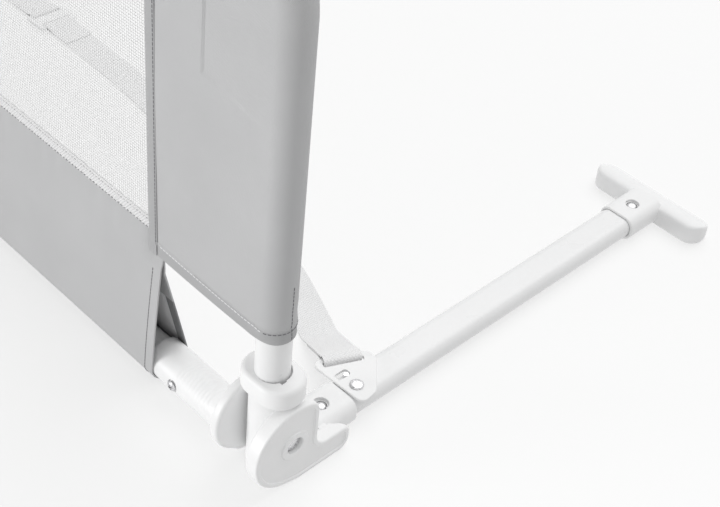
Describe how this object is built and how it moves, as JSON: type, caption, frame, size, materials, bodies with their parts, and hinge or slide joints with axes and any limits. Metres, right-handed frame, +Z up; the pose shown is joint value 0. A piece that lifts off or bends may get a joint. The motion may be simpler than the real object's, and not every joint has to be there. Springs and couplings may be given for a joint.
{
  "type": "folding bed guard rail",
  "caption": "Folding guard rail for the side of a bed: tubular frame with a cloth and mesh cover, hinged to flat arms with T-shaped feet that lie under the mattress.",
  "frame": {"origin": "middle of the footprint, on the bed base that the arms and feet lie on", "axes": "+X along the rail, +Y from the rail in under the mattress, +Z up"},
  "size_m": [1.26, 0.5049, 0.44],
  "materials": {
    "moulded_plastic": "white, fine satin texture",
    "powder_coated_tube": "white powder coat, semi-gloss",
    "bright_steel": "bright zinc-plated steel",
    "grey_cloth": "light grey plain-woven polyester",
    "white_net": "white polyester mesh",
    "white_webbing": "white ribbed polyester webbing"
  },
  "bodies": {
    "root": {"hinge_base_right": "moulded_plastic", "hinge_base_left": "moulded_plastic", "arm_foot_right": "moulded_plastic", "arm_foot_left": "moulded_plastic", "strap_plate_right": "moulded_plastic", "strap_plate_left": "moulded_plastic", "strap_slider": "moulded_plastic", "arm_tube_right": "powder_coated_tube", "arm_tube_left": "powder_coated_tube", "bottom_rail": "powder_coated_tube", "pivot_pin_right": "bright_steel", "pivot_pin_left": "bright_steel", "pivot_clip_right": "bright_steel", "pivot_clip_left": "bright_steel", "rail_screw_right": "bright_steel", "rail_screw_left": "bright_steel", "base_button_spring_right": "bright_steel", "base_button_spring_left": "bright_steel", "foot_button_spring_right": "bright_steel", "foot_button_spring_left": "bright_steel", "strap_rivet_right": "bright_steel", "strap_rivet_left": "bright_steel", "strap_stud_right": "bright_steel", "strap_stud_left": "bright_steel", "rail_pocket": "grey_cloth", "strap_right": "white_webbing", "strap_left": "white_webbing"},
    "hinge_sockets": {"post_socket_right": "moulded_plastic", "post_socket_left": "moulded_plastic", "band_skirt": "grey_cloth", "binding_strip": "white_webbing"},
    "guard_frame": {"post_tube_right": "powder_coated_tube", "post_tube_left": "powder_coated_tube", "cross_pin_right": "bright_steel", "cross_pin_left": "bright_steel", "corner_tube_right": "powder_coated_tube", "corner_tube_left": "powder_coated_tube", "side_panel_right": "grey_cloth", "side_panel_left": "grey_cloth", "top_rail": "powder_coated_tube", "mesh_window": "white_net", "top_sleeve": "grey_cloth"},
    "base_button_right": {"base_button_right": "bright_steel"},
    "base_button_left": {"base_button_left": "bright_steel"},
    "foot_button_right": {"foot_button_right": "bright_steel"},
    "foot_button_left": {"foot_button_left": "bright_steel"}
  },
  "joints": [
    {"name": "fold", "type": "hinge", "parent": "root", "child": "hinge_sockets", "pos_m": [0, -0.2165, 0.038], "axis": [1, 0, 0], "range_deg": [0, 180]},
    {"name": "lift", "type": "slide", "parent": "hinge_sockets", "child": "guard_frame", "axis": [0, 0, 1], "range_m": [0, 0.015]},
    {"name": "base_button_right_press", "type": "slide", "parent": "root", "child": "base_button_right", "axis": [0, 0, -1], "range_m": [0, 0.003], "stiffness_N_per_m": 500, "springref_m": -0.002, "deforming": ["base_button_spring_right"]},
    {"name": "base_button_left_press", "type": "slide", "parent": "root", "child": "base_button_left", "axis": [0, 0, -1], "range_m": [0, 0.003], "stiffness_N_per_m": 500, "springref_m": -0.002, "deforming": ["base_button_spring_left"]},
    {"name": "foot_button_right_press", "type": "slide", "parent": "root", "child": "foot_button_right", "axis": [0, 0, -1], "range_m": [0, 0.003], "stiffness_N_per_m": 500, "springref_m": -0.002, "deforming": ["foot_button_spring_right"]},
    {"name": "foot_button_left_press", "type": "slide", "parent": "root", "child": "foot_button_left", "axis": [0, 0, -1], "range_m": [0, 0.003], "stiffness_N_per_m": 500, "springref_m": -0.002, "deforming": ["foot_button_spring_left"]}
  ]
}
